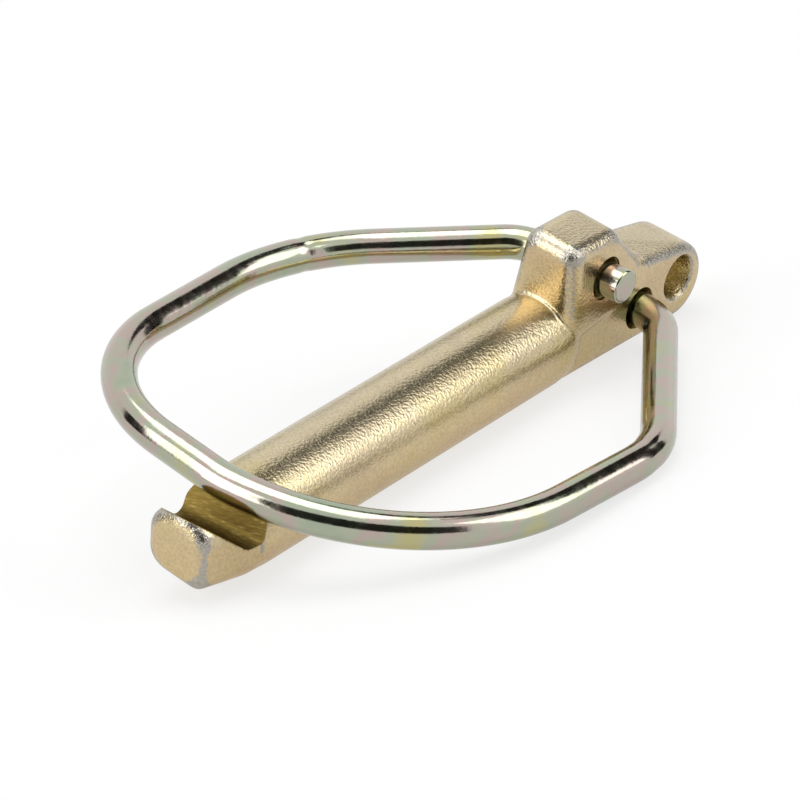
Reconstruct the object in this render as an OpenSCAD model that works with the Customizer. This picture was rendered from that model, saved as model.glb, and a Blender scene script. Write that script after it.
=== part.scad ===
// Lynch pin: a forged steel pin with a sprung wire ring.
//
// The pin lies along X, with its tip towards -X and its head towards +X. The origin is on the
// shank's axis, in the middle of the grip. The pin rests on its round underside and leans to the
// front until one side of the ring touches the same surface, so both pieces are modelled upright
// and then turned by that lean about X. The body leans a little less than the ring does.

/* [Shank] */
// Diameter of the round shank
shank_d = 11.1; // [10.5:0.1:12]
// Length of the grip, from the notch to the shoulder of the head
grip_len = 51; // [46:0.5:60]

/* [Tip] */
// Length of the tip, from the notch's head-side edge to the end
tip_len = 9.7; // [9:0.1:12]
// Width across the two flats of the tip
tip_w = 7.8; // [7:0.1:8.6]
// Height of the tip's top above the axis
tip_top = 4.4; // [3.8:0.1:4.8]
// Depth of the tip's end below the axis
tip_bottom = 3.7; // [3.2:0.1:4.8]
// Corner radius of the tip, seen from its end
tip_corner_r = 2.2; // [1.4:0.1:2.8]
// Radius on the edges of the tip
tip_edge_r = 1.1; // [0.6:0.1:1.4]

/* [Notch] */
// Depth of the notch below the top of the shank
notch_depth = 4.7; // [3:0.1:5]
// Radius at the bottom of the notch
notch_r = 1.5; // [1:0.1:2]
// Slope of the notch's wall on the head side, in degrees
notch_wall = 62; // [55:1:75]
// Slope of the notch's ramp on the tip side, in degrees
notch_ramp = 35; // [32:1:45]

/* [Head] */
// Width across the flat sides of the head
head_w = 7.6; // [7.2:0.1:8.6]
// Offset of the head to the front of the shank, as forging dies leave it
die_shift = 0.4; // [0:0.1:0.8]
// Height of the lug's top above the axis
lug_h = 12; // [11.4:0.1:13.5]
// Length of the lug along its top
lug_len = 9.2; // [8.4:0.1:10.5]
// Fall of the lug's top towards the eye
lug_fall = 0.3; // [0:0.1:0.8]
// Slope of the lug's back, down to the saddle, in degrees
lug_back = 48; // [40:1:60]
// Width of the lug across its top
lug_top_w = 6.9; // [6:0.1:7.6]
// Offset of the lug's top to the front of its foot
lug_shift = 0.8; // [0:0.1:1.2]
// Width of the lug across its foot, at the shoulder
lug_foot_w = 8.6; // [8.2:0.1:9.4]
// Height of the saddle between the lug and the eye
saddle_h = 6.4; // [5.8:0.1:7]
// Radius in the saddle
saddle_r = 3; // [1.5:0.1:4]
// Radius on the edges of the head
head_edge_r = 1.1; // [0.6:0.1:1.4]

/* [Eye] */
// Distance from the shoulder to the centre of the eye
eye_x = 22.3; // [21.6:0.1:25]
// Height of the eye's centre above the axis
eye_z = 0.6; // [0:0.1:1]
// Bore of the eye
eye_d = 5.1; // [4:0.1:6]
// Wall round the eye's bore
eye_wall = 2.4; // [2:0.1:3]

/* [Cross holes] */
// Distance from the shoulder to the upper hole
upper_x = 6.6; // [6.2:0.1:7.4]
// Height of the upper hole above the axis
upper_z = 7.2; // [6.8:0.1:7.6]
// Distance from the shoulder to the lower hole
lower_x = 14.6; // [14:0.1:15.2]
// Height of the lower hole above the axis
lower_z = -0.2; // [-0.5:0.1:0.5]
// Play of the ring's ends in their holes, on the diameter
end_play = 1.1; // [0.8:0.1:1.5]

/* [Ring] */
// Diameter of the spring wire
wire_d = 3.95; // [3.6:0.05:4.2]
// Width between the corners of the ring's shoulders, on the wire's centre line
shoulder_w = 52.4; // [46:0.2:60]
// Distance of the ring's shoulders from the middle of the grip
shoulder_x = 12.6; // [9:0.2:16]
// Width between the corners of the ring's far end, on the wire's centre line
far_w = 48.8; // [40:0.2:54]
// Bow of the ring's far end
far_bow = 2.8; // [1:0.1:4]
// Gap between the ring's far end and the notch's edge
notch_gap = 0.4; // [0.3:0.05:0.8]
// Bend radius of the shoulder, rear and front
shoulder_r = [24, 14];
// Bend radius of the far corner, rear and front
far_r = [17.5, 26];
// Bend radius in the middle of the far end
bow_r = 16; // [12:1:24]
// Bend radius where the legs turn into the cross holes
end_bend_r = 5.5; // [4.5:0.1:6]
// How far the bend's corner stands off the head's side
end_reach = 3.55; // [2.8:0.05:4]
// Length of wire that stands out past each flat side
stub = 3.2; // [1.5:0.05:3.5]

/* [Hidden] */

// Fineness of the exact round surfaces
round_fn = 64;
// Fineness of the rounded edges of the forged lumps
edge_fn = 16;
// How far a surface stays inside the one that it meets
seat = 0.03;
// How far the wire's bends run on inside its straights
lap = 0.15;
// Height above the axis at which the lug leaves the flat sides
lug_foot = 1.5;
// How far the round underside runs on past the saddle, short of the eye's centre
keel_gap = 1.5;
// Length over which the round shank runs out into the flats of the tip and the head
runout = 2.6;
// Length of round shank past the notch's head-side edge
notch_land = 1.5;
// How much less the body leans than the ring, whose ends slope with the cross holes, in degrees
hole_slope = 3.5;
// Length at each end of the grip over which the shank begins to thin by a hair
grip_relief = 0.3;
// Chamfer on the ends of the wire
wire_chamfer = 0.4;
// Height of the ring's far end above the top of the shank
far_rise = 0.35;
// Height of the ring's shoulders above the axis
shoulder_z = 4.65;

shank_r = shank_d / 2;
wire_r = wire_d / 2;
hole_d = wire_d + end_play;
shoulder = grip_len / 2;
notch_x = -grip_len / 2;
tip_x = notch_x - tip_len;

// Places on the head, each as [x, z]
upper = [shoulder + upper_x, upper_z];
lower = [shoulder + lower_x, lower_z];
eye = [shoulder + eye_x, eye_z];
eye_r = eye_d / 2 + eye_wall;
lug_end = shoulder + lug_len;
saddle_x = lug_end + (lug_h - lug_fall - saddle_h) / tan(lug_back);

// Middle of the notch's rounded bottom
notch_z = shank_r - notch_depth + notch_r;
notch_mid = [
    notch_x - (notch_r + (shank_r - notch_z) * cos(notch_wall)) / sin(notch_wall),
    notch_z
];

// ---- Pin body ----

// A side view in X and Z, given its thickness across the pin
module across(width) {
    rotate([90, 0, 0]) linear_extrude(width, center = true) children();
}

// A bore across the pin at a place [x, z]
module bore(at, d) {
    translate([at.x, 0, at.y]) rotate([90, 0, 0])
        cylinder(d = d, h = 2 * head_w, center = true, $fn = round_fn);
}

// The turned shank, which runs out into the flats at both ends
module shank() {
    from = notch_x - notch_land;
    to = shoulder + head_edge_r;
    thin_r = shank_r - 2 * seat;
    rotate([0, 90, 0]) rotate_extrude($fn = round_fn)
        polygon([
            [0, from - runout], [tip_w / 2 - seat, from - runout], [thin_r, from],
            [shank_r, notch_x + grip_relief], [shank_r, shoulder - grip_relief],
            [thin_r, to], [head_w / 2 - die_shift - seat, to + runout], [0, to + runout]
        ]);
}

// A ball on each side of the pin, in the rounded corner of a forged lump. It can be squeezed
// along the pin to another radius.
module balls(x, z, width, r, along) {
    for (side = [-1, 1])
        translate([x, side * (width / 2 - r), z])
            scale([is_undef(along) ? 1 : along / r, 1, 1]) sphere(r, $fn = edge_fn);
}

// The shank's round, cut by flats that may be offset, from one place along the pin to another
module keel(from, to, width, offset_y = 0) {
    translate([from, 0, 0]) rotate([90, 0, 90]) linear_extrude(to - from)
        intersection() {
            translate([offset_y, 0]) circle(shank_r - 3 * seat, $fn = round_fn);
            square([width, 2 * shank_d], center = true);
        }
}

// The round boss of the eye, with its rims rounded
module boss() {
    translate([eye.x, 0, eye.y]) rotate([90, 0, 0])
        for (a = [0 : 30 : 90])
            cylinder(
                r = eye_r - head_edge_r * (1 - cos(a)),
                h = head_w - 2 * head_edge_r * (1 - sin(a)),
                center = true, $fn = round_fn
            );
}

// The arm, from the shoulder past the saddle out to the eye
module arm() {
    hull() {
        keel(shoulder + head_edge_r, eye.x - keel_gap, head_w, die_shift);
        balls(saddle_x, saddle_h - head_edge_r, head_w, head_edge_r);
        boss();
    }
}

// The lug, which tapers from the flat sides to its top
module lug() {
    back = lug_h - lug_fall;
    foot_x = lug_end + (back - lug_foot) / tan(lug_back);
    hull() {
        translate([0, -lug_shift, 0]) {
            balls(shoulder + head_edge_r, lug_h - head_edge_r, lug_top_w, head_edge_r);
            balls(
                lug_end - head_edge_r * tan(lug_back / 2), back - head_edge_r, lug_top_w, head_edge_r
            );
        }
        for (side = [-1, 1])
            translate([shoulder + head_edge_r, side * (lug_foot_w / 2 - head_edge_r), lug_foot])
                cylinder(r = head_edge_r, h = seat, $fn = edge_fn);
        translate([foot_x - head_edge_r, -head_w / 2 + seat, lug_foot])
            cube([head_edge_r, head_w - 2 * seat, seat]);
    }
}

// The curve in the saddle, between the lug's back and the top of the arm
module saddle() {
    rise = saddle_r * tan(lug_back / 2);
    width = lug_top_w - head_edge_r;
    across(width) difference() {
        polygon([
            [saddle_x - rise * cos(lug_back), saddle_h + rise * sin(lug_back)],
            [saddle_x + rise, saddle_h], [saddle_x + rise, saddle_h - head_edge_r],
            [saddle_x - saddle_r, saddle_h - head_edge_r]
        ]);
        translate([saddle_x + rise, saddle_h + saddle_r]) circle(saddle_r, $fn = round_fn);
    }
}

// The flat-sided tip, which narrows to its end
module tip() {
    hull() {
        for (z = [tip_top - tip_corner_r, tip_corner_r - tip_bottom])
            balls(tip_x + tip_edge_r, z, tip_w, tip_corner_r, tip_edge_r);
        keel(notch_mid.x, notch_x, tip_w);
    }
}

// The notch: a steep wall and a ramp that meet in a round bottom
module notch_side() {
    reach = 2 * notch_depth;
    foot_r = notch_r - seat;
    wall_foot = notch_mid + foot_r * [sin(notch_wall), -cos(notch_wall)];
    ramp_foot = notch_mid - foot_r * [sin(notch_ramp), cos(notch_ramp)];
    translate(notch_mid) circle(notch_r, $fn = round_fn);
    polygon([
        notch_mid, wall_foot, wall_foot + reach * [cos(notch_wall), sin(notch_wall)],
        ramp_foot + reach * [-cos(notch_ramp), sin(notch_ramp)], ramp_foot
    ]);
}

module upright_body() {
    difference() {
        union() {
            shank();
            translate([0, -die_shift, 0]) {
                arm();
                lug();
                saddle();
            }
            tip();
        }
        across(2 * shank_d) notch_side();
        bore(upper, hole_d);
        bore(lower, hole_d);
        bore(eye, eye_d);
    }
}

// ---- Ring ----

// The wire is straight between corners, and each corner is an arc of its own radius.
// Going round: in at the upper hole, the rear side, the far end, the front side, and
// out at the lower hole.
corner_y = head_w / 2 + end_reach;
end_y = head_w / 2 + stub - wire_chamfer;
bow_turn = 2 * atan(2 * far_bow / far_w);
bow_x = notch_x - wire_r - notch_gap - bow_r * (1 / cos(bow_turn / 2) - 1);
far_x = bow_x + far_bow;
far_z = shank_r + far_rise;

corners = [
    [upper.x, -end_y, upper.y + end_y * tan(hole_slope)],
    [upper.x, corner_y, upper.y - corner_y * tan(hole_slope)],
    [shoulder_x, shoulder_w / 2, shoulder_z],
    [far_x, far_w / 2, far_z],
    [bow_x, 0, far_z],
    [far_x, -far_w / 2, far_z],
    [shoulder_x, -shoulder_w / 2, shoulder_z],
    [lower.x, -corner_y, lower.y + corner_y * tan(hole_slope)],
    [lower.x, end_y, lower.y - end_y * tan(hole_slope)]
];
bend_r = [
    0, end_bend_r, shoulder_r[0], far_r[0], bow_r, far_r[1], shoulder_r[1], end_bend_r, 0
];
last = len(corners) - 1;

function unit(v) = v / norm(v);
function heading(i) = unit(corners[i + 1] - corners[i]);
function turn(i) = i == 0 || i == last ? 0 : acos(heading(i - 1) * heading(i));
function setback(i) = bend_r[i] * tan(turn(i) / 2);
function bend_start(i) = corners[i] - (i == 0 ? 0 : setback(i)) * heading(max(i - 1, 0));
function bend_end(i) = corners[i] + setback(i) * heading(min(i, last - 1));
function bend_normal(i) = unit(cross(heading(i - 1), heading(i)));
function bend_out(i) = cross(heading(i - 1), bend_normal(i));
function bend_mid(i) = bend_start(i) - bend_r[i] * bend_out(i);

// Puts its children in a frame with the given axes and origin
module framed(x, y, z, o) {
    multmatrix([
        [x.x, y.x, z.x, o.x], [x.y, y.y, z.y, o.y], [x.z, y.z, z.z, o.z], [0, 0, 0, 1]
    ]) children();
}

// Puts its children at a point with their Z along a direction
module aimed(at, along) {
    side = unit(cross(along, [0, 0, 1]));
    framed(side, cross(along, side), along, at) children();
}

// Straight wire from the end of one bend to the start of the next
module straight(i) {
    aimed(bend_end(i), heading(i))
        cylinder(r = wire_r, h = norm(bend_start(i + 1) - bend_end(i)), $fn = round_fn);
}

// Chamfered end of the wire
module wire_end(at, along) {
    aimed(at, along) rotate_extrude($fn = round_fn)
        polygon([
            [0, -lap], [wire_r - seat, -lap], [wire_r - seat, 0],
            [wire_r - wire_chamfer, wire_chamfer], [0, wire_chamfer]
        ]);
}

module bend(i) {
    lap_angle = lap / bend_r[i] * 180 / PI;
    framed(bend_out(i), heading(i - 1), bend_normal(i), bend_mid(i))
        rotate([0, 0, -lap_angle])
        rotate_extrude(angle = turn(i) + 2 * lap_angle, $fn = 2 * round_fn)
            translate([bend_r[i], 0]) circle(wire_r - seat, $fn = round_fn);
}

module upright_ring() {
    for (i = [0 : last - 1]) straight(i);
    for (i = [1 : last - 1]) bend(i);
    wire_end(corners[0], -heading(0));
    wire_end(corners[last], heading(last - 1));
}

// ---- Lean ----

// Height of the ring's lowest point above the shank's, once the pin leans by an angle
front = last - 2;
function ring_clearance(angle) =
    let (up = [0, sin(angle), cos(angle)])
    up * bend_mid(front) - bend_r[front] * norm(cross(up, bend_normal(front)))
        - wire_r + shank_r;

// The lean at which the ring touches the surface that the shank lies on
function touching(low, high, steps = 40) =
    steps == 0 ? low
    : let (mid = (low + high) / 2)
      ring_clearance(mid) > 0 ? touching(mid, high, steps - 1) : touching(low, mid, steps - 1);
lean = touching(0, 60);

module pin_body() {
    color([0.72, 0.64, 0.50]) rotate([lean - hole_slope, 0, 0]) upright_body();
}

module ring() {
    color([0.80, 0.80, 0.76]) rotate([lean, 0, 0]) upright_ring();
}

pin_body();
ring();
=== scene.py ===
# Lynch pin: a forged, yellow zinc plated pin with a ring of bright zinc plated spring wire.
# Lengths are in metres, in the frame of the solids: the origin is on the shank's axis in the
# middle of the grip, +X runs to the head, and the pin leans about X on to one side of its ring.
import math

import bmesh
import bpy
import numpy as np
from mathutils import Matrix, Vector


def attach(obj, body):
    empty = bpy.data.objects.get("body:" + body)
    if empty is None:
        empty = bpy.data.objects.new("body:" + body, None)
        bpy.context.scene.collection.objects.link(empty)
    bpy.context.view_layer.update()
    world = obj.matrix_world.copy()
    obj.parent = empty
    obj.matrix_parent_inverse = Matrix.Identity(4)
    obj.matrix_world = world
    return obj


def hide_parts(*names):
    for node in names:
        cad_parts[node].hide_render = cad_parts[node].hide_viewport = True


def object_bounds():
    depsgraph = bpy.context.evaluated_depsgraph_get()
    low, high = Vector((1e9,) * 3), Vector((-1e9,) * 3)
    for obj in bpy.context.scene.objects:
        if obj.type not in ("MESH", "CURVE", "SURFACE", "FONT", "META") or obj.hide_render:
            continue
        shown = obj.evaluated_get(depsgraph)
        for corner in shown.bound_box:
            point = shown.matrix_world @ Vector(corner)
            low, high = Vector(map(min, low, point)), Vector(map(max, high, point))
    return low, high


MM = 0.001

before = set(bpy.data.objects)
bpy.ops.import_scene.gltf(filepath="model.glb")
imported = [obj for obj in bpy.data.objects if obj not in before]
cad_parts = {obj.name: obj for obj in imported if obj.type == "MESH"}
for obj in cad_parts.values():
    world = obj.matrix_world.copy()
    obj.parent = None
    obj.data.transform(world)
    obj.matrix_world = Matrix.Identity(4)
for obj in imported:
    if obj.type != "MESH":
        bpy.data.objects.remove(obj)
cad_low, cad_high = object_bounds()
scene = bpy.context.scene
scene.view_settings.view_transform = "Standard"

# The ring leans to the surface, and the body a little less
RING_LEAN = Matrix.Rotation(math.radians(18.0372), 4, "X")
BODY_LEAN = Matrix.Rotation(math.radians(14.5372), 4, "X")


# ---- Camera ----

camera = bpy.data.objects.new("camera", bpy.data.cameras.new("camera"))
scene.collection.objects.link(camera)
camera.data.sensor_width = 36
camera.data.lens = 202.5
camera.data.clip_start = 0.01
camera.data.clip_end = 20
camera.location = Vector((-330.5, -300.64, 187.50)) * MM
camera.rotation_euler = [math.radians(a) for a in (67.343, 7.481, -51.027)]
scene.camera = camera


# ---- Materials ----

def hex_colour(code):
    """An sRGB hex colour as the linear values that sockets take."""
    parts = [int(code[i:i + 2], 16) / 255 for i in (1, 3, 5)]
    linear = [c / 12.92 if c <= 0.04045 else ((c + 0.055) / 1.055) ** 2.4 for c in parts]
    return (*linear, 1.0)


def node(tree, kind, settings=None, links=None, stops=()):
    """Adds a node. Settings name its properties or inputs, links say what feeds its inputs, and
    stops are a colour ramp's positions and colours."""
    made = tree.nodes.new(kind)
    for name, value in (settings or {}).items():
        if isinstance(name, str) and hasattr(made, name):
            setattr(made, name, value)
        else:
            made.inputs[name].default_value = value
    for name, source in (links or {}).items():
        tree.links.new(source, made.inputs[name])
    for i, (position, colour) in enumerate(stops):
        elements = made.color_ramp.elements
        element = elements[i] if i < len(elements) else elements.new(position)
        element.position = position
        element.color = hex_colour(colour)
    return made


def new_material(name):
    material = bpy.data.materials.new(name)
    material.use_nodes = True
    tree = material.node_tree
    tree.nodes.clear()
    return material, tree


# Forged steel with yellow zinc passivation: the tumbled skin under a thin golden film is a warm
# champagne metal whose fine grain sparkles; the film is greyer where the surface faces up and more golden
# where it faces down.
# Edges rubbed in the barrel are bare grey zinc with a coarse speckle. The milled notch holds the
# film best, so it is a matt olive, and its colour is darkened further as painted shade for the
# recess; the drilled holes are a lighter olive gold.
def forged_zinc():
    material, tree = new_material("forged steel, yellow zinc passivated")
    place = node(tree, "ShaderNodeTexCoord").outputs["Object"]
    edge = node(tree, "ShaderNodeAttribute", {"attribute_name": "edge"}).outputs["Fac"]
    faces_down = node(tree, "ShaderNodeAttribute", {"attribute_name": "faces_down"}).outputs["Fac"]
    milled = node(tree, "ShaderNodeAttribute", {"attribute_name": "milled"}).outputs["Fac"]
    drilled = node(tree, "ShaderNodeAttribute", {"attribute_name": "drilled"}).outputs["Fac"]

    # The skin's grain is 0.3 mm across, the speckle on rubbed edges 0.4 mm
    grain = node(tree, "ShaderNodeTexNoise", {"Scale": 1 / (0.31 * MM), "Detail": 2.0, "Roughness": 0.5},
                 {"Vector": place}).outputs["Fac"]
    speckle = node(tree, "ShaderNodeTexNoise",
                   {"Scale": 1 / (0.42 * MM), "Detail": 2.0, "Roughness": 0.6},
                   {"Vector": place}).outputs["Fac"]
    # Dents of 5 mm and a cloudy film of 9 mm
    dents = node(tree, "ShaderNodeTexNoise", {"Scale": 1 / (5 * MM), "Detail": 1.0},
                 {"Vector": place}).outputs["Fac"]
    clouds = node(tree, "ShaderNodeTexNoise", {"Scale": 1 / (9 * MM), "Detail": 4.0, "Roughness": 0.6},
                  {"Vector": place}).outputs["Fac"]
    # Tool lines run across the pin, 0.2 mm apart, so the pattern is stretched along Y
    across = node(tree, "ShaderNodeMapping",
                  {"Scale": (1.0, 0.03, 1.0), "Rotation": (0, 0, math.radians(3))},
                  {"Vector": place}).outputs["Vector"]
    lines = node(tree, "ShaderNodeTexNoise", {"Scale": 1 / (0.2 * MM), "Detail": 2.0},
                 {"Vector": across}).outputs["Fac"]

    grey_film = node(tree, "ShaderNodeValToRGB", links={"Fac": clouds}, stops=[
        (0.34, "#C6B89A"), (0.52, "#CEC0A0"), (0.70, "#CCBD92")]).outputs["Color"]
    warm_film = node(tree, "ShaderNodeValToRGB", links={"Fac": clouds}, stops=[
        (0.34, "#D0B083"), (0.52, "#D3B783"), (0.70, "#CFB378")]).outputs["Color"]
    # The notch's olive is darker than its own colour: painted shade for the recess
    olive_and_notch_shade = node(tree, "ShaderNodeValToRGB", links={"Fac": lines}, stops=[
        (0.38, "#766331"), (0.60, "#84703B"), (0.72, "#A3925C")]).outputs["Color"]
    # The film turns from the greyer ramp to the more golden one as the surface faces further down
    film = node(tree, "ShaderNodeMix", {"data_type": "RGBA"},
                {0: faces_down, 6: grey_film, 7: warm_film}).outputs[2]
    # Wear takes the speckle's peaks first and all of it on the sharpest edges
    worn = node(tree, "ShaderNodeMath", {"operation": "MULTIPLY_ADD", 1: 1.6},
                {0: speckle, 2: edge}).outputs["Value"]
    wear = node(tree, "ShaderNodeMapRange", {"From Min": 1.15, "From Max": 1.65},
                {"Value": worn}).outputs["Result"]
    rubbed = node(tree, "ShaderNodeMix", {"data_type": "RGBA", 7: hex_colour("#ADA89D")},
                  {0: wear, 6: film}).outputs[2]
    # The pits of the grain are a little darker than its peaks
    shade = node(tree, "ShaderNodeMapRange",
                 {"From Min": 0.35, "From Max": 0.6, "To Min": 0.9, "To Max": 1.04},
                 {"Value": grain}).outputs["Result"]
    skin = node(tree, "ShaderNodeHueSaturation", links={"Color": rubbed, "Value": shade}).outputs["Color"]
    bored = node(tree, "ShaderNodeMix", {"data_type": "RGBA", 7: hex_colour("#C9B98E")},
                 {0: drilled, 6: skin}).outputs[2]
    colour = node(tree, "ShaderNodeMix", {"data_type": "RGBA"},
                  {0: milled, 6: bored, 7: olive_and_notch_shade}).outputs[2]

    rough = node(tree, "ShaderNodeMix", {"data_type": "FLOAT", 2: 0.25, 3: 0.5}, {0: milled}).outputs[0]
    dent_bump = node(tree, "ShaderNodeBump", {"Strength": 0.15, "Distance": 0.12 * MM},
                     {"Height": dents}).outputs["Normal"]
    # The grain fades out where a tool has cut
    uncut = node(tree, "ShaderNodeMath", {"operation": "SUBTRACT", 0: 1.0}, {1: milled}).outputs["Value"]
    grain_bump = node(tree, "ShaderNodeBump", {"Distance": 0.052 * MM},
                      {"Height": grain, "Normal": dent_bump, "Strength": uncut}).outputs["Normal"]
    edge_bump = node(tree, "ShaderNodeBump", {"Distance": 0.13 * MM},
                     {"Height": speckle, "Normal": grain_bump, "Strength": edge}).outputs["Normal"]
    line_bump = node(tree, "ShaderNodeBump", {"Distance": 0.012 * MM},
                     {"Height": lines, "Normal": edge_bump, "Strength": milled}).outputs["Normal"]
    shader = node(tree, "ShaderNodeBsdfPrincipled", {"Metallic": 1.0},
                  {"Base Color": colour, "Roughness": rough, "Normal": line_bump}).outputs["BSDF"]
    node(tree, "ShaderNodeOutputMaterial", links={"Surface": shader})
    return material


# Drawn spring wire with bright zinc and a clear iridescent passivation: smooth and glossy, a pale
# grey green that drifts to pink and yellow, with fine lines left by the drawing die.
def drawn_zinc():
    material, tree = new_material("drawn spring wire, iridescent zinc")
    place = node(tree, "ShaderNodeTexCoord").outputs["Object"]
    along = node(tree, "ShaderNodeAttribute", {"attribute_name": "along"}).outputs["Fac"]
    across = node(tree, "ShaderNodeAttribute", {"attribute_name": "across"}).outputs["Vector"]
    # Tints drift over about 8 mm
    drift = node(tree, "ShaderNodeTexNoise", {"Scale": 1 / (8 * MM), "Detail": 3.0, "Roughness": 0.55},
                 {"Vector": place}).outputs["Fac"]
    tint = node(tree, "ShaderNodeValToRGB", links={"Fac": drift}, stops=[
        (0.28, "#9EAB95"), (0.42, "#ACB19D"), (0.50, "#B9A8A0"), (0.58, "#ABB09C"),
        (0.70, "#B9B283")]).outputs["Color"]
    # Die lines run along the wire, 0.5 mm apart: the pattern is stretched 50 times that way
    slow = node(tree, "ShaderNodeMath", {"operation": "MULTIPLY", 1: 0.02}, {0: along}).outputs["Value"]
    ahead = node(tree, "ShaderNodeCombineXYZ", links={"Z": slow}).outputs["Vector"]
    wound = node(tree, "ShaderNodeVectorMath", {"operation": "ADD"},
                 {0: across, 1: ahead}).outputs["Vector"]
    lines = node(tree, "ShaderNodeTexNoise", {"Scale": 1 / (0.5 * MM), "Detail": 2.0},
                 {"Vector": wound}).outputs["Fac"]
    # Nicks from the bending tool and the plating barrel, 1.4 mm across
    nicks = node(tree, "ShaderNodeTexNoise", {"Scale": 1 / (1.4 * MM), "Detail": 3.0, "Roughness": 0.6},
                 {"Vector": place}).outputs["Fac"]
    rough = node(tree, "ShaderNodeMapRange",
                 {"From Min": 0.35, "From Max": 0.7, "To Min": 0.10, "To Max": 0.20},
                 {"Value": nicks}).outputs["Result"]
    line_bump = node(tree, "ShaderNodeBump", {"Strength": 0.3, "Distance": 0.02 * MM},
                     {"Height": lines}).outputs["Normal"]
    nick_bump = node(tree, "ShaderNodeBump", {"Strength": 0.3, "Distance": 0.05 * MM},
                     {"Height": nicks, "Normal": line_bump}).outputs["Normal"]
    shader = node(tree, "ShaderNodeBsdfPrincipled", {"Metallic": 1.0},
                  {"Base Color": tint, "Roughness": rough, "Normal": nick_bump}).outputs["BSDF"]
    node(tree, "ShaderNodeOutputMaterial", links={"Surface": shader})
    return material


# ---- Meshes ----

def link(name, mesh):
    made = bpy.data.objects.new(name, mesh)
    scene.collection.objects.link(made)
    return made


def apply_modifiers(piece):
    """Turns what the modifiers make into the piece's own plain mesh."""
    graph = bpy.context.evaluated_depsgraph_get()
    mesh = bpy.data.meshes.new_from_object(piece.evaluated_get(graph))
    piece.modifiers.clear()
    piece.data = mesh
    return piece


def points_of(mesh):
    flat = np.empty(3 * len(mesh.vertices), dtype=np.float32)
    mesh.vertices.foreach_get("co", flat)
    return flat.reshape(-1, 3)


def normals_of(mesh):
    flat = np.empty(3 * len(mesh.vertices), dtype=np.float32)
    mesh.vertices.foreach_get("normal", flat)
    return flat.reshape(-1, 3)


def store(mesh, name, values):
    """Keeps a value for each point, for a material to read."""
    mesh.attributes.new(name, "FLOAT", "POINT").data.foreach_set("value", values.astype(np.float32))


def clamp(values):
    return np.clip(values, 0.0, 1.0)


def circle_turns(count):
    """Angles spread evenly round a circle."""
    return [2 * math.pi * i / count for i in range(count)]


# ---- Pin body ----

# Places on the upright body, in mm. The drilled holes are (x, z, radius, rounding of the rim):
# the upper and lower ones that hold the ring, and the eye.
HOLES = [(32.1, 7.2, 2.525, 0.06), (40.1, -0.2, 2.525, 0.06), (47.8, 0.6, 2.55, 0.5)]
HEAD_FRONT = -4.3
HEAD_REAR = 3.3
HEAD_ROUND = 1.2
SHANK_R = 5.53
# The shank, turned, as (radius, x). Its ends taper inside the head and the tip.
SHANK = [(3.9, -29.4), (5.4, -27.4), (SHANK_R, -25), (SHANK_R, 25),
         (5.35, 26.6), (4.8, 28.2), (3.0, 30)]
# The rounded corners of the tip's end as (y, z, radius), and how far each bulges along the pin
TIP_X = -34.0
TIP_BULGE = 1.15
TIP_CORNERS = [(-1.35, 1.75, 2.5), (-0.1, 2.55, 2.5), (1.55, 1.85, 2.55), (1.55, -0.35, 2.55),
               (-2.35, -1.85, 1.45)]
# The lug's flanks at its top and foot, and its top corners as (x, height at the front, radius)
LUG_TOP_FRONT = -4.75
LUG_TOP_REAR = 2.75
LUG_FOOT_FRONT = -5.0
LUG_FOOT_REAR = 4.3
LUG_FOOT_R = 1.5
LUG_CORNERS = [(27.2, 12.75, 1.7), (33.3, 12.45, 1.5)]
LUG_REAR_RISE = 0.45
EYE_BOSS_R = 4.65
# Points on the fillet that fills the saddle, as (x, z), and its two sides
SADDLE_FILLET = [(37.2, 8.2), (38.6, 7.0), (40.6, 6.1), (37, 4), (41, 4)]
SADDLE_SIDES = (-3.4, 2.4)
# The notch: the middle and radius of its round bottom, and the slopes of its two sides
NOTCH_MIDDLE = (-28.8, 1.75)
NOTCH_R = 1.5
NOTCH_WALL = math.radians(62)
NOTCH_RAMP = math.radians(40)
NOTCH_END = -24.5
# The tool that cut the notch ran 2 degrees down and 3 degrees along from the rear to the front
NOTCH_TURN = Matrix.Rotation(math.radians(2), 4, "X") @ Matrix.Rotation(math.radians(3), 4, "Z")
# The notch's cutter reaches this far past its middle, clear of the pin
CUTTER_REACH = 9
# The grid that merges the forging's lumps, and how often its points are evened out
VOXEL = 0.205
SOFTENINGS = 12
# How convex an edge is where wear starts, and how much more where it is full
WEAR_START = 0.085
WEAR_RANGE = 0.13
# Faces that meet at more than this are drawn with a crisp edge
CRISP = math.radians(35)


def ball(x, y, z, r, along=None):
    """Points of a ball for a hull to wrap, which can be squeezed along the pin."""
    points = []
    for i in range(9):
        rise = math.pi * (i / 8 - 0.5)
        for j in range(16):
            turn = 2 * math.pi * (j + 0.5) / 16
            points.append((x + (along or r) * math.sin(rise), y + r * math.cos(rise) * math.cos(turn),
                           z + r * math.cos(rise) * math.sin(turn)))
    return points


def pair(front_x, rear_x, front, rear, front_top, rear_top, r):
    """Two balls that round the corners at the front and the rear of a top edge."""
    return ball(front_x, front + r, front_top - r, r) + ball(rear_x, rear - r, rear_top - r, r)


def section(x, r, front, rear):
    """Points of the shank's round section at one place, cut by a flat on each side."""
    return [(x, min(max(r * math.cos(a), front), rear), r * math.sin(a)) for a in circle_turns(64)]


def boss(x, y, z, r, edge):
    """Points of one end of the round boss, whose rim is rounded towards y."""
    points = []
    for step in (0, 0.35, 0.7, 1.0):
        inner = r - edge * (1 - math.cos(step * math.pi / 2))
        out = y + math.copysign(edge, y) * (math.sin(step * math.pi / 2) - 1)
        points += [(x + inner * math.cos(a), out, z + inner * math.sin(a)) for a in circle_turns(64)]
    return points


def add_hull(shape, points):
    verts = [shape.verts.new(p) for p in points]
    made = bmesh.ops.convex_hull(shape, input=verts, use_existing_faces=False)
    loose = {v for v in made["geom_interior"] + made["geom_unused"]
             if isinstance(v, bmesh.types.BMVert)}
    bmesh.ops.delete(shape, geom=list(loose), context="VERTS")


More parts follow.
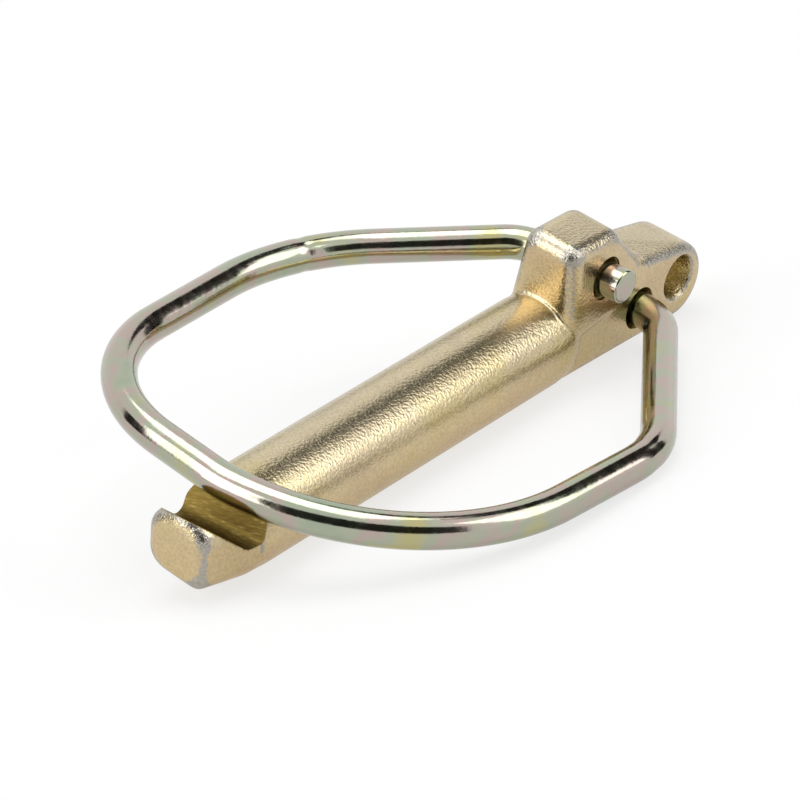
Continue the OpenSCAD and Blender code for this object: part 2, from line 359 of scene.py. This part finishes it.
def add_lathe(shape, profile, turn=Matrix.Identity(4), sides=96):
    """A closed solid turned about X from (radius, x) points."""
    rings = []
    for r, x in profile:
        rings.append([shape.verts.new(turn @ Vector((x, r * math.cos(a), r * math.sin(a))))
                      for a in circle_turns(sides)])
    for a, b in zip(rings, rings[1:]):
        for i in range(sides):
            k = (i + 1) % sides
            shape.faces.new((a[i], a[k], b[k], b[i]))
    shape.faces.new(rings[0][::-1])
    shape.faces.new(rings[-1])
    bmesh.ops.recalc_face_normals(shape, faces=shape.faces)


def mesh_of(name, shape):
    mesh = bpy.data.meshes.new(name)
    bmesh.ops.recalc_face_normals(shape, faces=shape.faces)
    shape.to_mesh(mesh)
    shape.free()
    return link(name, mesh)


def tip_points():
    """The flats close in from the round shank to the end."""
    points = section(-27.6, 5.45, -5.0, 5.0)
    for y, z, r in TIP_CORNERS:
        points += ball(TIP_X, y, z, r, TIP_BULGE)
    return points


def arm_points():
    """From the shoulder past the saddle out to the eye."""
    points = section(26.6, 5.45, HEAD_FRONT, HEAD_REAR) + section(44.0, 5.2, HEAD_FRONT, HEAD_REAR)
    points += pair(39.2, 38.8, HEAD_FRONT, HEAD_REAR, 5.95, 7.0, HEAD_ROUND)
    points += boss(47.95, HEAD_FRONT, -0.15, EYE_BOSS_R, HEAD_ROUND)
    points += boss(47.7, HEAD_REAR, 0.45, EYE_BOSS_R, HEAD_ROUND)
    return points


def lug_points():
    """From the foot on the shank to the top."""
    points = []
    for x, top, r in LUG_CORNERS:
        points += pair(x, x, LUG_TOP_FRONT, LUG_TOP_REAR, top, top + LUG_REAR_RISE, r)
    for y in (LUG_FOOT_FRONT + LUG_FOOT_R, LUG_FOOT_REAR - LUG_FOOT_R):
        points += ball(27.0, y, 2.0, LUG_FOOT_R)
    for y in (HEAD_FRONT + HEAD_ROUND, HEAD_REAR - HEAD_ROUND):
        points += ball(41.0, y, 3.0, HEAD_ROUND)
    return points


def forging():
    """The forging before it is drilled and milled: its lumps merged and their edges softened."""
    shape = bmesh.new()
    add_lathe(shape, SHANK)
    add_hull(shape, tip_points())
    add_hull(shape, arm_points())
    add_hull(shape, lug_points())
    add_hull(shape, [(x, y, z) for y in SADDLE_SIDES for x, z in SADDLE_FILLET])
    piece = mesh_of("forged_pin", shape)
    remesh = piece.modifiers.new("remesh", "REMESH")
    remesh.mode = "VOXEL"
    remesh.voxel_size = VOXEL
    soften = piece.modifiers.new("soften", "SMOOTH")
    soften.factor = 0.5
    soften.iterations = SOFTENINGS
    apply_modifiers(piece)
    return piece


def notch_cutter():
    """The milling tool's path: a steep wall and a ramp that meet in a round bottom."""
    x, z = NOTCH_MIDDLE
    wall_x, wall_z = math.cos(NOTCH_WALL), math.sin(NOTCH_WALL)
    ramp_x, ramp_z = math.cos(NOTCH_RAMP), math.sin(NOTCH_RAMP)
    outline = [(x + CUTTER_REACH * wall_x + NOTCH_R * wall_z,
                z + CUTTER_REACH * wall_z - NOTCH_R * wall_x)]
    for i in range(13):
        a = NOTCH_WALL - math.pi / 2 - (NOTCH_WALL + NOTCH_RAMP) * i / 12
        outline.append((x + NOTCH_R * math.cos(a), z + NOTCH_R * math.sin(a)))
    outline.append((x - CUTTER_REACH * ramp_x - NOTCH_R * ramp_z,
                    z + CUTTER_REACH * ramp_z - NOTCH_R * ramp_x))
    middle = Vector((x, 0, z))
    shape = bmesh.new()
    sides = [[shape.verts.new(NOTCH_TURN @ (Vector((px, y, pz)) - middle) + middle) for px, pz in outline]
             for y in (-CUTTER_REACH, CUTTER_REACH)]
    shape.faces.new(sides[0])
    shape.faces.new(sides[1][::-1])
    for i in range(len(outline)):
        k = (i + 1) % len(outline)
        shape.faces.new((sides[0][i], sides[1][i], sides[1][k], sides[0][k]))
    return mesh_of("notch_cutter", shape)


def drill(x, z, r, rim):
    """A drill that widens at both faces of the head in small steps, which rounds the hole's rim."""
    shape = bmesh.new()
    place = Matrix.Translation((x, 0, z)) @ Matrix.Rotation(math.pi / 2, 4, "Z")
    profile = [(r + 1.4 * rim, HEAD_FRONT - 1.0), (r + 1.2 * rim, HEAD_FRONT - 0.05),
               (r + 0.4 * rim, HEAD_FRONT + 0.4 * rim), (r, HEAD_FRONT + rim),
               (r, HEAD_REAR - rim), (r + 0.4 * rim, HEAD_REAR - 0.4 * rim),
               (r + 1.2 * rim, HEAD_REAR + 0.05), (r + 1.4 * rim, HEAD_REAR + 1.5)]
    add_lathe(shape, profile, place, 64)
    return mesh_of("drill", shape)


def cut_away(piece, cutters):
    for cutter in cutters:
        cut = piece.modifiers.new("cut", "BOOLEAN")
        cut.operation = "DIFFERENCE"
        cut.solver = "EXACT"
        cut.object = cutter
    apply_modifiers(piece)
    for cutter in cutters:
        bpy.data.objects.remove(cutter)


def near(gaps):
    """1 on a surface that a tool has cut and 0 from 0.1 mm off it, from distances in mm."""
    return clamp((0.10 - gaps) / 0.05)


def drilled_surface(points):
    x, z = points[:, 0], points[:, 2]
    return near(np.min([np.abs(np.hypot(x - hx, z - hz) - r) for hx, hz, r, _ in HOLES], axis=0))


def milled_surface(points):
    middle = np.array((NOTCH_MIDDLE[0], 0.0, NOTCH_MIDDLE[1]))
    local = (points - middle) @ np.array(NOTCH_TURN.to_3x3())
    dx, dz = local[:, 0], local[:, 2]
    wall = NOTCH_R - dx * math.sin(NOTCH_WALL) + dz * math.cos(NOTCH_WALL)
    ramp = NOTCH_R + dx * math.sin(NOTCH_RAMP) + dz * math.cos(NOTCH_RAMP)
    bottom = NOTCH_R - np.hypot(dx, dz)
    below_wall = dx * math.cos(NOTCH_WALL) + dz * math.sin(NOTCH_WALL) < 0
    below_ramp = dz * math.sin(NOTCH_RAMP) - dx * math.cos(NOTCH_RAMP) < 0
    gaps = np.abs(np.where(below_wall & below_ramp, bottom, np.minimum(wall, ramp)))
    return near(np.where(points[:, 0] > NOTCH_END, 9.0, gaps))


def mark_edge_wear_and_facing(mesh):
    """Stores how convex the surface is as 'edge', and how far it faces down as 'drained'. The bend
    is a quarter of one over an edge's radius: wear starts at 3 mm and is full at 1.2 mm."""
    points = points_of(mesh)
    normals = normals_of(mesh)
    ends = np.empty(2 * len(mesh.edges), dtype=np.int32)
    mesh.edges.foreach_get("vertices", ends)
    a, b = ends.reshape(-1, 2).T
    away = points[b] - points[a]
    square = np.sum(away * away, axis=1) + 1e-9
    count = np.bincount(ends, minlength=len(points))
    bend = np.bincount(a, -np.sum(normals[a] * away, axis=1) / square, len(points))
    bend += np.bincount(b, np.sum(normals[b] * away, axis=1) / square, len(points))
    bend /= count
    # Spread each point's bend over its neighbours, which evens it out
    for _ in range(8):
        spread = np.bincount(a, bend[b], len(points)) + np.bincount(b, bend[a], len(points))
        bend = (bend + spread) / (1 + count)
    store(mesh, "edge", clamp((bend - WEAR_START) / WEAR_RANGE))
    store(mesh, "faces_down", clamp(0.55 - 0.75 * normals[:, 2]))


pin = forging()
mark_edge_wear_and_facing(pin.data)
cut_away(pin, [notch_cutter()] + [drill(*hole) for hole in HOLES])
store(pin.data, "drilled", drilled_surface(points_of(pin.data)))
store(pin.data, "milled", milled_surface(points_of(pin.data)))
pin.data.polygons.foreach_set("use_smooth", [True] * len(pin.data.polygons))
pin.data.set_sharp_from_angle(angle=CRISP)
pin.data.transform(BODY_LEAN @ Matrix.Scale(MM, 4))
pin.data.materials.clear()
pin.data.materials.append(forged_zinc())
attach(pin, "pin")
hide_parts("pin_body")


# ---- Ring ----

WIRE_R = 3.95 / 2

# The corners of the wire's route, upright, as (x, y, z, bend radius) in mm
ROUTE = [
    (32.1, -7.0, 7.628, 0.0),  # the cut end past the upper hole
    (32.1, 7.35, 6.750, 5.5),
    (12.6, 26.2, 4.65, 24.0),  # the rear side
    (-25.18, 24.4, 5.9, 17.5),
    (-27.98, 0.0, 5.9, 16.0),  # over the notch
    (-25.18, -24.4, 5.9, 26.0),
    (12.6, -26.2, 4.65, 14.0),  # the front side
    (40.1, -7.35, 0.250, 7.5),
    (40.1, 7.0, -0.628, 0.0),  # the cut end past the lower hole
]
# Where the bending tool has pressed the wire: (place in the upright ring, depth, reach) in mm
KINKS = [((13.4, 25.3, 4.8), 0.08, 0.5), ((11.0, -26.3, 4.5), 0.05, 0.9)]
CUT_END_CHAMFER = 0.2


def sweep_tree():
    """Sweeps a round wire along a line of corner points, each rounded to its own radius. It stores
    how far along the wire each point is and where on its section."""
    tree = bpy.data.node_groups.new("bent wire", "GeometryNodeTree")
    for name, kind in (("Geometry", "Geometry"), ("Wire radius", "Float"), ("Segments in a bend", "Int"),
                       ("Step", "Float"), ("Sides", "Int"), ("Material", "Material")):
        tree.interface.new_socket(name, in_out="INPUT", socket_type="NodeSocket" + kind)
    tree.interface.new_socket("Geometry", in_out="OUTPUT", socket_type="NodeSocketGeometry")
    given = node(tree, "NodeGroupInput").outputs
    line = node(tree, "GeometryNodeMeshToCurve", links={"Mesh": given["Geometry"]})
    radius = node(tree, "GeometryNodeInputNamedAttribute", {"data_type": "FLOAT", "Name": "bend"})
    bent = node(tree, "GeometryNodeFilletCurve", {"mode": "POLY"},
                {"Curve": line.outputs["Curve"], "Count": given["Segments in a bend"],
                 "Radius": radius.outputs["Attribute"]})
    even = node(tree, "GeometryNodeResampleCurve", {"mode": "LENGTH"},
                {"Curve": bent.outputs["Curve"], "Length": given["Step"]})
    length = node(tree, "GeometryNodeSplineParameter").outputs["Length"]
    marked = node(tree, "GeometryNodeStoreNamedAttribute", {"data_type": "FLOAT", "Name": "along"},
                  {"Geometry": even.outputs["Curve"], "Value": length})
    circle = node(tree, "GeometryNodeCurvePrimitiveCircle",
                  links={"Resolution": given["Sides"], "Radius": given["Wire radius"]})
    spot = node(tree, "GeometryNodeInputPosition").outputs["Position"]
    profile = node(tree, "GeometryNodeStoreNamedAttribute",
                   {"data_type": "FLOAT_VECTOR", "Name": "across"},
                   {"Geometry": circle.outputs["Curve"], "Value": spot})
    wire = node(tree, "GeometryNodeCurveToMesh", {"Fill Caps": True},
                {"Curve": marked.outputs["Geometry"], "Profile Curve": profile.outputs["Geometry"]})
    real = node(tree, "GeometryNodeRealizeInstances", links={"Geometry": wire.outputs["Mesh"]})
    finish = node(tree, "GeometryNodeSetMaterial",
                  links={"Geometry": real.outputs["Geometry"], "Material": given["Material"]})
    node(tree, "NodeGroupOutput", links={"Geometry": finish.outputs["Geometry"]})
    return tree


def set_inputs(modifier, values):
    """Sets a Geometry Nodes modifier's inputs by the names of its tree's sockets."""
    for item in modifier.node_group.interface.items_tree:
        if item.in_out == "INPUT" and item.name in values:
            modifier[item.identifier] = values[item.name]


def press_kinks(mesh):
    """Squeezes the wire a little where the bending tool held it."""
    points = points_of(mesh)
    normals = normals_of(mesh)
    along = np.empty(len(mesh.vertices), dtype=np.float32)
    mesh.attributes["along"].data.foreach_get("value", along)
    for place, depth, reach in KINKS:
        spot = np.array(RING_LEAN @ Vector(place)) * MM
        at = along[np.argmin(np.sum((points - spot) ** 2, axis=1))]
        press = depth * np.exp(-((along - at) / (reach * MM)) ** 2)
        points = points - normals * (press * MM)[:, None]
    mesh.vertices.foreach_set("co", points.astype(np.float32).ravel())
    mesh.update()


def ring_wire(material):
    mesh = bpy.data.meshes.new("spring_ring")
    mesh.from_pydata([Vector(c[:3]) * MM for c in ROUTE], [(i, i + 1) for i in range(len(ROUTE) - 1)], [])
    mesh.transform(RING_LEAN)
    store(mesh, "bend", np.array([c[3] * MM for c in ROUTE]))
    piece = link("spring_ring", mesh)
    sweep = piece.modifiers.new("sweep", "NODES")
    sweep.node_group = sweep_tree()
    set_inputs(sweep, {"Wire radius": WIRE_R * MM, "Segments in a bend": 28, "Step": 0.4 * MM,
                       "Sides": 48, "Material": material})
    apply_modifiers(piece)
    press_kinks(piece.data)
    shape = bmesh.new()
    shape.from_mesh(piece.data)
    bmesh.ops.remove_doubles(shape, verts=shape.verts, dist=0.001 * MM)
    # Only the two cut ends have many-sided faces, and their rims get a fine chamfer
    caps = [face for face in shape.faces if len(face.verts) > 8]
    rims = list({side for face in caps for side in face.edges})
    bmesh.ops.bevel(shape, geom=rims, offset=CUT_END_CHAMFER * MM, segments=2, profile=0.5, affect="EDGES")
    bmesh.ops.recalc_face_normals(shape, faces=shape.faces)
    for face in shape.faces:
        face.smooth = len(face.verts) <= 8
    shape.to_mesh(piece.data)
    shape.free()
    return piece


ring = ring_wire(drawn_zinc())
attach(ring, "ring")
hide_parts("ring")


# ---- Studio ----

LAMP_DISTANCE = 1.2
CARD_DISTANCE = 1.5
FLOOR_WIDTH = 12


def plain(name, colour):
    """A plain matt surface."""
    material, tree = new_material(name)
    matt = node(tree, "ShaderNodeBsdfPrincipled", {"Base Color": hex_colour(colour), "Roughness": 0.9})
    node(tree, "ShaderNodeOutputMaterial", links={"Surface": matt.outputs["BSDF"]})
    return material


def sheet(name, width, height, material):
    mesh = bpy.data.meshes.new(name)
    x, y = width / 2, height / 2
    mesh.from_pydata([(-x, -y, 0), (x, -y, 0), (x, y, 0), (-x, y, 0)], [], [(0, 1, 2, 3)])
    made = link(name, mesh)
    made.data.materials.append(material)
    return made


def face_pin(made, azimuth, elevation, distance):
    """Stands a lamp or a card off the pin, facing it. Azimuth is from +X towards +Y, in degrees."""
    turn, rise = math.radians(azimuth), math.radians(elevation)
    out = Vector((math.cos(rise) * math.cos(turn), math.cos(rise) * math.sin(turn), math.sin(rise)))
    made.location = out * distance
    made.rotation_mode = "QUATERNION"
    made.rotation_quaternion = out.to_track_quat("Z", "Y")
    made.visible_camera = False


def soft_light(name, azimuth, elevation, width, height, power):
    lamp = bpy.data.lights.new(name, "AREA")
    lamp.shape = "RECTANGLE"
    lamp.size = width
    lamp.size_y = height
    lamp.energy = power
    made = bpy.data.objects.new(name, lamp)
    scene.collection.objects.link(made)
    face_pin(made, azimuth, elevation, LAMP_DISTANCE)


def pale_floor():
    """A matt white floor that takes a soft shadow. The camera sees it partly and the metal mostly
    as an even white, while the light that it throws on the pin stays its own."""
    material, tree = new_material("pale floor")
    ray = node(tree, "ShaderNodeLightPath").outputs
    matt = node(tree, "ShaderNodeBsdfDiffuse", {"Color": hex_colour("#F3F3F3")}).outputs["BSDF"]
    even = node(tree, "ShaderNodeEmission",
                {"Color": hex_colour("#FFFFFF"), "Strength": 1.0}).outputs["Emission"]
    glow = node(tree, "ShaderNodeEmission",
                {"Color": hex_colour("#FFFFFF"), "Strength": 0.88}).outputs["Emission"]
    camera_share = node(tree, "ShaderNodeMath", {"operation": "MULTIPLY", 1: 0.72},
                        {0: ray["Is Camera Ray"]}).outputs["Value"]
    metal_share = node(tree, "ShaderNodeMath", {"operation": "MULTIPLY", 1: 0.6},
                       {0: ray["Is Glossy Ray"]}).outputs["Value"]
    shown = node(tree, "ShaderNodeMixShader", links={0: camera_share, 1: matt, 2: even}).outputs["Shader"]
    both = node(tree, "ShaderNodeMixShader", links={0: metal_share, 1: shown, 2: glow}).outputs["Shader"]
    node(tree, "ShaderNodeOutputMaterial", links={"Surface": both})
    return material


def pale_surround():
    """White to the camera and in the metal, and a little dimmer as light on the pin."""
    world = bpy.data.worlds.new("studio")
    world.use_nodes = True
    tree = world.node_tree
    tree.nodes.clear()
    ray = node(tree, "ShaderNodeLightPath").outputs
    mirrored = node(tree, "ShaderNodeMath", {"operation": "MAXIMUM"},
                    {0: ray["Is Glossy Ray"], 1: ray["Is Transmission Ray"]}).outputs["Value"]
    seen = node(tree, "ShaderNodeMath", {"operation": "MAXIMUM"},
                {0: ray["Is Camera Ray"], 1: mirrored}).outputs["Value"]
    dim = node(tree, "ShaderNodeBackground",
               {"Color": hex_colour("#FFFFFF"), "Strength": 0.7}).outputs["Background"]
    white = node(tree, "ShaderNodeBackground",
                 {"Color": hex_colour("#FFFFFF"), "Strength": 1.0}).outputs["Background"]
    both = node(tree, "ShaderNodeMixShader", links={0: seen, 1: dim, 2: white}).outputs["Shader"]
    node(tree, "ShaderNodeOutputWorld", links={"Surface": both})
    return world


floor = sheet("floor", FLOOR_WIDTH, FLOOR_WIDTH, pale_floor())
floor.location.z = cad_low.z

# Dark cards between the lamps give the bright metal its dark bands
black = plain("black card", "#1C1B18")
for name, azimuth, elevation, width, height in (
    ("card_behind_camera", -138, 25, 2.6, 1.2),
    ("card_right", -27, 20, 0.55, 1.2),
    ("card_over_head", -8, 47, 0.70, 1.0),
    ("card_rear", 127, 21, 0.6, 0.9),
):
    face_pin(sheet(name, width, height, black), azimuth, elevation, CARD_DISTANCE)

soft_light("key", -57, 32, 0.70, 0.78, 3.2)
soft_light("side", 160, 30, 0.80, 1.0, 5.5)
soft_light("top", 20, 84, 0.9, 0.9, 5.5)
scene.world = pale_surround()
